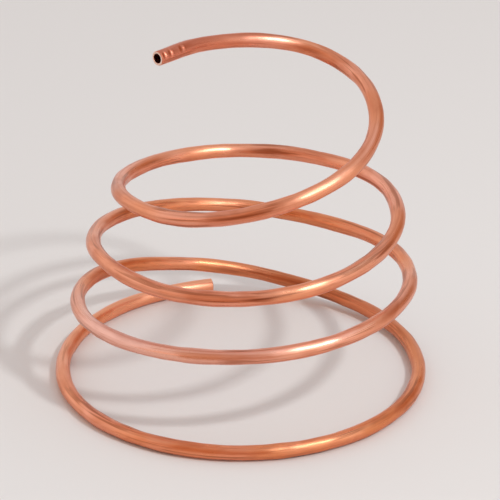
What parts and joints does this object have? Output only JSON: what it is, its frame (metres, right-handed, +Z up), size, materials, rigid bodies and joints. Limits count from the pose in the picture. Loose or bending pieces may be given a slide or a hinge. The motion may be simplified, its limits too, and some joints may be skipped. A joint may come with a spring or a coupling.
{
  "type": "copper tube coil",
  "caption": "Length of soft copper tube wound into a spiral that is pulled open into a widening cone, with both ends cut square.",
  "frame": {"origin": "on the floor under the middle of the coil's bounding box", "axes": "+Z up along the spiral's axis, from the wide foot turn on the floor to the narrow top turn; -Y is the side that the picture's camera sees"},
  "size_m": [0.1552, 0.1568, 0.1408],
  "materials": {
    "copper": "satin annealed copper, drawn"
  },
  "bodies": {
    "root": {"copper_tube": "copper"}
  },
  "joints": []
}
